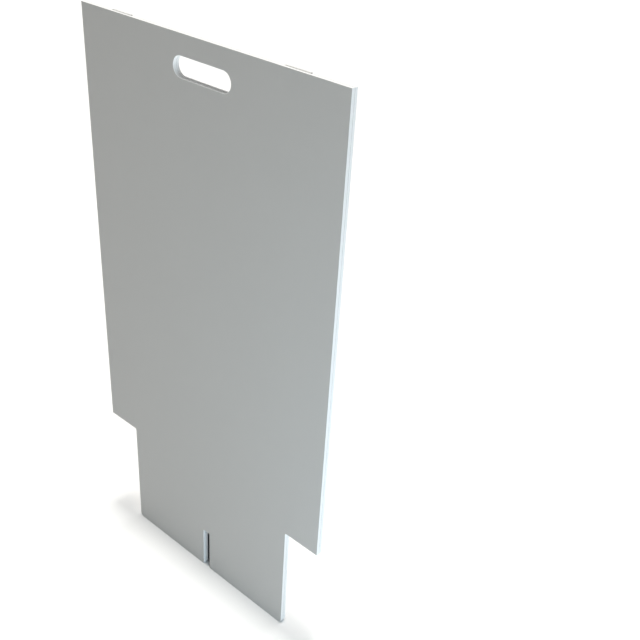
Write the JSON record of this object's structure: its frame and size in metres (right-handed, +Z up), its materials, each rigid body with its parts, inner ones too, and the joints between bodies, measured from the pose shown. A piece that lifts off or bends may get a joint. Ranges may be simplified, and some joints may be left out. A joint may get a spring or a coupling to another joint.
{
  "type": "sandwich board",
  "caption": "Folding sandwich board with hinged white boards, hand grips, narrowed feet and foot slots for a cross brace, closed and standing.",
  "frame": {"origin": "on the ground, under the middle of the closed and stowed board", "axes": "+X to the right seen from the front, +Y to the back, +Z up"},
  "size_m": [0.61, 0.0308, 1.1446],
  "materials": {
    "board_white": "smooth expanded plastic sheet, satin-matte, cut edges plain",
    "hinge_white": "white powder coat",
    "pin_steel": "bright drawn steel",
    "screw_zinc": "zinc plated",
    "brace_grey": "charcoal expanded plastic sheet, matte",
    "tape_black": "woven hook and loop tape"
  },
  "bodies": {
    "front": {"front_board": "board_white", "left_hinge_front_leaf": "hinge_white", "right_hinge_front_leaf": "hinge_white", "left_hinge_pin": "pin_steel", "right_hinge_pin": "pin_steel", "left_hinge_front_screw_1": "screw_zinc", "left_hinge_front_screw_2": "screw_zinc", "left_hinge_front_screw_3": "screw_zinc", "right_hinge_front_screw_1": "screw_zinc", "right_hinge_front_screw_2": "screw_zinc", "right_hinge_front_screw_3": "screw_zinc"},
    "rear": {"rear_board": "board_white", "left_hinge_rear_leaf": "hinge_white", "right_hinge_rear_leaf": "hinge_white", "low_loop_tape": "tape_black", "high_loop_tape": "tape_black", "left_hinge_rear_screw_1": "screw_zinc", "left_hinge_rear_screw_2": "screw_zinc", "left_hinge_rear_screw_3": "screw_zinc", "right_hinge_rear_screw_1": "screw_zinc", "right_hinge_rear_screw_2": "screw_zinc", "right_hinge_rear_screw_3": "screw_zinc"},
    "brace": {"cross_brace": "brace_grey", "low_hook_tape": "tape_black", "high_hook_tape": "tape_black"}
  },
  "joints": [
    {"name": "fold", "type": "hinge", "parent": "front", "child": "rear", "pos_m": [0, -0.009, 1.143], "axis": [1, 0, 0], "range_deg": [0, 24]},
    {"name": "brace_lift_off", "type": "slide", "parent": "rear", "child": "brace", "axis": [0, 1, 0], "range_m": [0, 0.08]}
  ]
}
